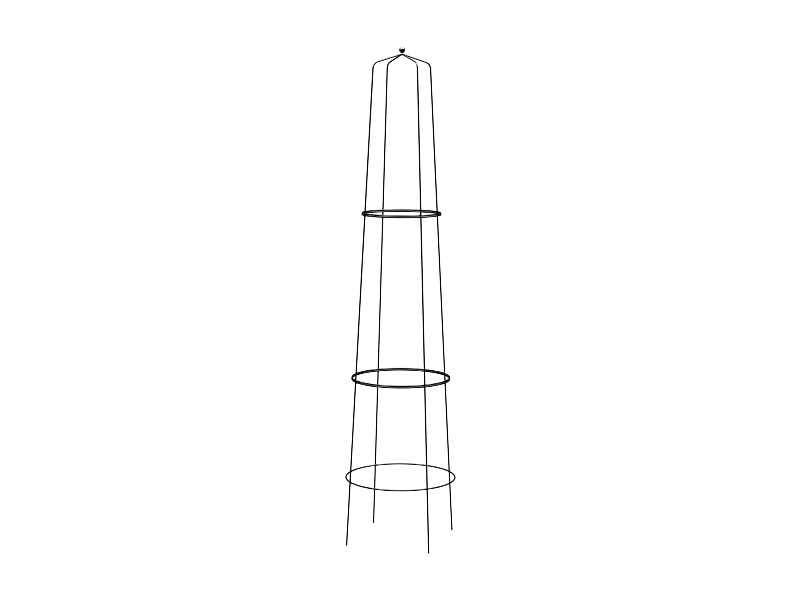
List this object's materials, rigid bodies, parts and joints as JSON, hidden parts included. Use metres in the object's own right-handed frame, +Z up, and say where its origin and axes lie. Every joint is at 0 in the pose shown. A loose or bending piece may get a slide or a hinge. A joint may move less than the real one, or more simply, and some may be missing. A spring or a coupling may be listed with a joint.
{
  "type": "garden obelisk",
  "caption": "Tall round garden obelisk of slim coated steel rod: leaning legs and rings in sections that stack on pins, roof rods and a screw-in ball finial.",
  "frame": {"origin": "on the obelisk's vertical axis, level with the cut ends of its feet", "axes": "+Z up along the axis, towards the finial; the legs stand on the diagonals of X and Y, and -Y is the front"},
  "size_m": [0.4302, 0.4302, 1.9],
  "materials": {
    "rod_coating": "semi-gloss black coating on steel",
    "ball_coating": "gloss black coating on steel",
    "plated_steel": "zinc-plated, satin"
  },
  "bodies": {
    "bottom_section": {"bottom_leg_back_right": "rod_coating", "bottom_leg_back_left": "rod_coating", "bottom_leg_front_left": "rod_coating", "bottom_leg_front_right": "rod_coating", "low_ring": "rod_coating", "bottom_section_top_ring": "rod_coating", "lower_pin_back_right": "plated_steel", "lower_pin_back_left": "plated_steel", "lower_pin_front_left": "plated_steel", "lower_pin_front_right": "plated_steel"},
    "middle_section": {"middle_leg_back_right": "rod_coating", "middle_leg_back_left": "rod_coating", "middle_leg_front_left": "rod_coating", "middle_leg_front_right": "rod_coating", "middle_section_base_ring": "rod_coating", "middle_section_top_ring": "rod_coating", "upper_pin_back_right": "plated_steel", "upper_pin_back_left": "plated_steel", "upper_pin_front_left": "plated_steel", "upper_pin_front_right": "plated_steel"},
    "top_section": {"top_rod_back_right": "rod_coating", "top_rod_back_left": "rod_coating", "top_rod_front_left": "rod_coating", "top_rod_front_right": "rod_coating", "top_section_base_ring": "rod_coating", "crown_hub": "rod_coating"},
    "stud": {"finial_stud": "plated_steel"},
    "ball": {"finial_ball": "ball_coating"}
  },
  "joints": [
    {"name": "middle_section_lift", "type": "slide", "parent": "bottom_section", "child": "middle_section", "axis": [0, 0, 1], "range_m": [0, 0.15]},
    {"name": "top_section_lift", "type": "slide", "parent": "middle_section", "child": "top_section", "axis": [0, 0, 1], "range_m": [0, 0.15]},
    {"name": "finial_rise", "type": "slide", "parent": "top_section", "child": "stud", "axis": [0, 0, 1], "range_m": [0, 0.0056]},
    {"name": "finial_turn", "type": "hinge", "parent": "stud", "child": "ball", "pos_m": [0, 0, 1.8888], "axis": [0, 0, 1], "range_deg": [0, 2880]}
  ],
  "couplings": [
    {"joint": "finial_turn", "follows": "finial_rise", "rad_per_m": 8976}
  ]
}
